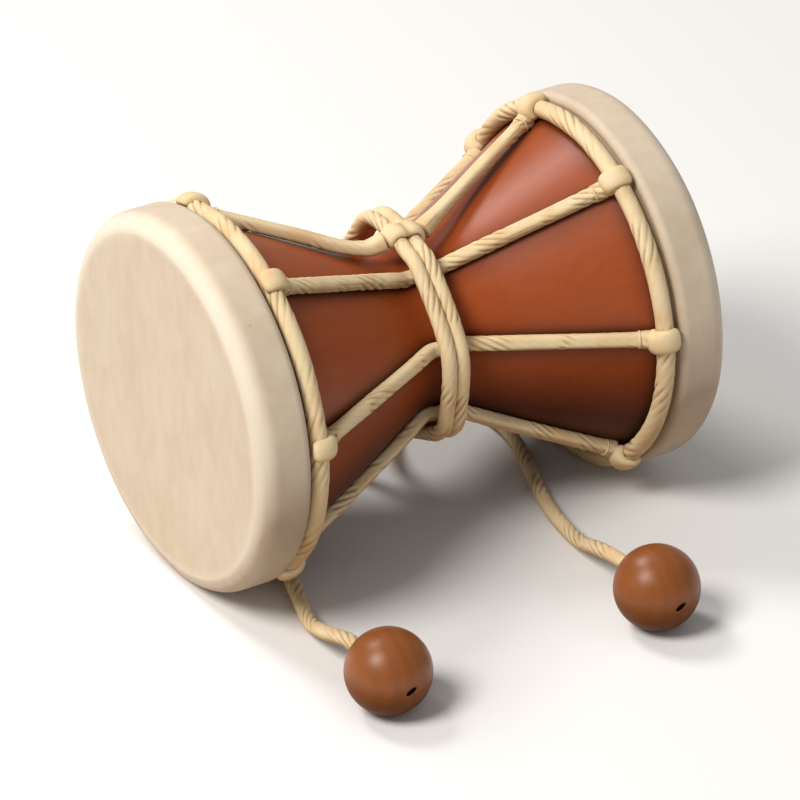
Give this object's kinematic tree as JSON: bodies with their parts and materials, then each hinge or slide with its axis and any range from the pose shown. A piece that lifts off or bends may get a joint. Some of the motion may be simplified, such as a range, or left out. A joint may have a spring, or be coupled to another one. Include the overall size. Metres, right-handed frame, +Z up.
{
  "type": "hourglass hand drum with beaded striker cords",
  "caption": "Laced hourglass hand drum lying on its side, with a hide head at each end, rope lacing gathered by a waist band, and two loose striker cords ending in wooden beads.",
  "frame": {"origin": "on the floor under the centre of the drum, which lies on the rims of its two heads", "axes": "+X along the drum's axis from the left head to the right head, +Z up, and -Y toward the side that the striker beads lie on"},
  "size_m": [0.1648, 0.174, 0.1198],
  "materials": {
    "shell_wood": "reddish-brown stained wood under a thin satin varnish",
    "drum_hide": "pale cream rawhide, smooth and matt, faintly mottled",
    "cotton_rope": "soft cream cotton rope with a shallow worn twist",
    "bead_wood": "mid-brown turned wood, polished"
  },
  "bodies": {
    "root": {"body_shell": "shell_wood", "head_left": "drum_hide", "head_right": "drum_hide", "hoop_rope_left": "cotton_rope", "hoop_rope_right": "cotton_rope", "lacing_cord_1": "cotton_rope", "lacing_cord_2": "cotton_rope", "lacing_cord_3": "cotton_rope", "lacing_cord_4": "cotton_rope", "lacing_cord_5": "cotton_rope", "lacing_cord_6": "cotton_rope", "lacing_cord_7": "cotton_rope", "waist_band": "cotton_rope", "striker_cord_left": "cotton_rope", "striker_cord_right": "cotton_rope", "bead_left": "bead_wood", "bead_right": "bead_wood"}
  },
  "joints": []
}
